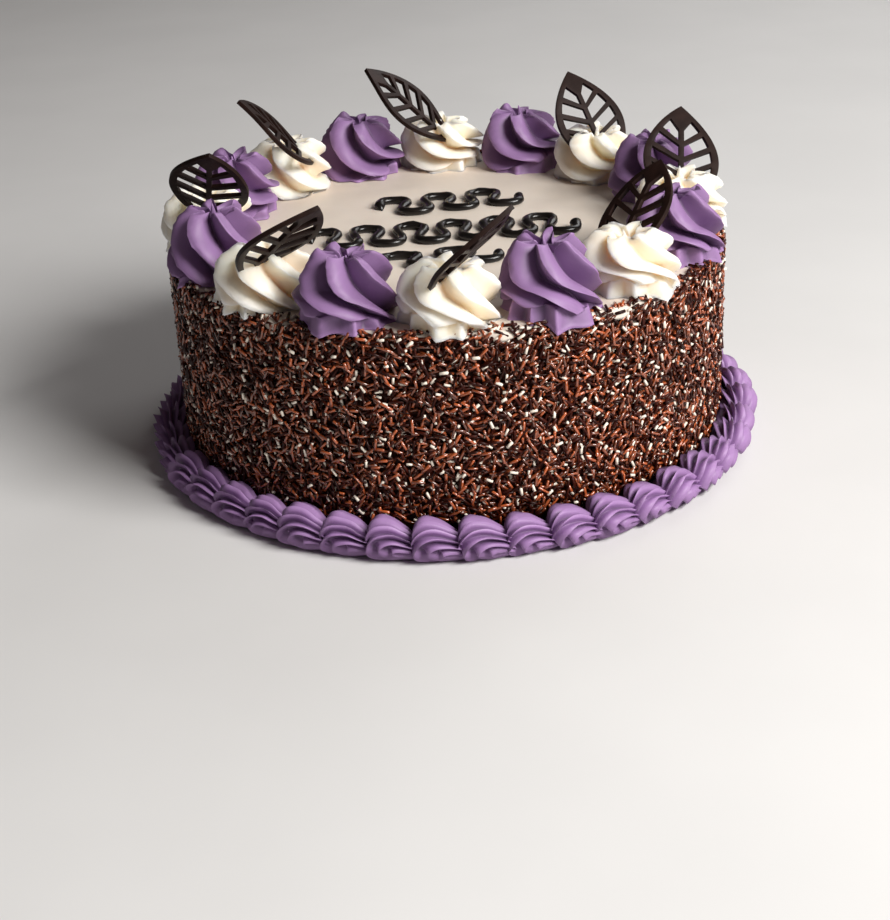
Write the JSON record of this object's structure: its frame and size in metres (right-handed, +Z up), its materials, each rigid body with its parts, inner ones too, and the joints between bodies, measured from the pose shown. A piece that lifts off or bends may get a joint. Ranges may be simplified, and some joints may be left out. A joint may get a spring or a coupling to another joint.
{
  "type": "celebration cake without candles",
  "caption": "Round layer cake coated in chocolate strands, with white and purple piped swirls, pierced chocolate leaves, dark piped waves and a piped shell border.",
  "frame": {"origin": "centre of the cake's round resting face, on the surface that it stands on", "axes": "+Z up; -Y towards the picture's viewer, +X to the viewer's right"},
  "size_m": [0.2383, 0.2381, 0.1269],
  "materials": {
    "sprinkle_coat": "dense coat of milk, dark and white chocolate strands, semi-gloss",
    "top_cream": "smooth spread buttercream with faint comb lines, satin",
    "white_cream": "piped buttercream, satin",
    "purple_cream": "piped buttercream, satin",
    "chocolate_leaf": "set dark chocolate, satin",
    "dark_piping": "set piping gel, glossy"
  },
  "bodies": {
    "root": {"cake": "sprinkle_coat", "cream_top": "top_cream", "swirl_01_purple": "purple_cream", "swirl_03_purple": "purple_cream", "swirl_05_purple": "purple_cream", "swirl_07_purple": "purple_cream", "swirl_09_purple": "purple_cream", "swirl_11_purple": "purple_cream", "swirl_13_purple": "purple_cream", "swirl_15_purple": "purple_cream", "swirl_02_white": "white_cream", "swirl_04_white": "white_cream", "swirl_06_white": "white_cream", "swirl_08_white": "white_cream", "swirl_10_white": "white_cream", "swirl_12_white": "white_cream", "swirl_14_white": "white_cream", "swirl_16_white": "white_cream", "leaf_1": "chocolate_leaf", "leaf_2": "chocolate_leaf", "leaf_3": "chocolate_leaf", "leaf_4": "chocolate_leaf", "leaf_5": "chocolate_leaf", "leaf_6": "chocolate_leaf", "leaf_7": "chocolate_leaf", "leaf_8": "chocolate_leaf", "shell_border": "purple_cream", "piping_back": "dark_piping", "piping_middle": "dark_piping", "piping_front": "dark_piping"}
  },
  "joints": []
}
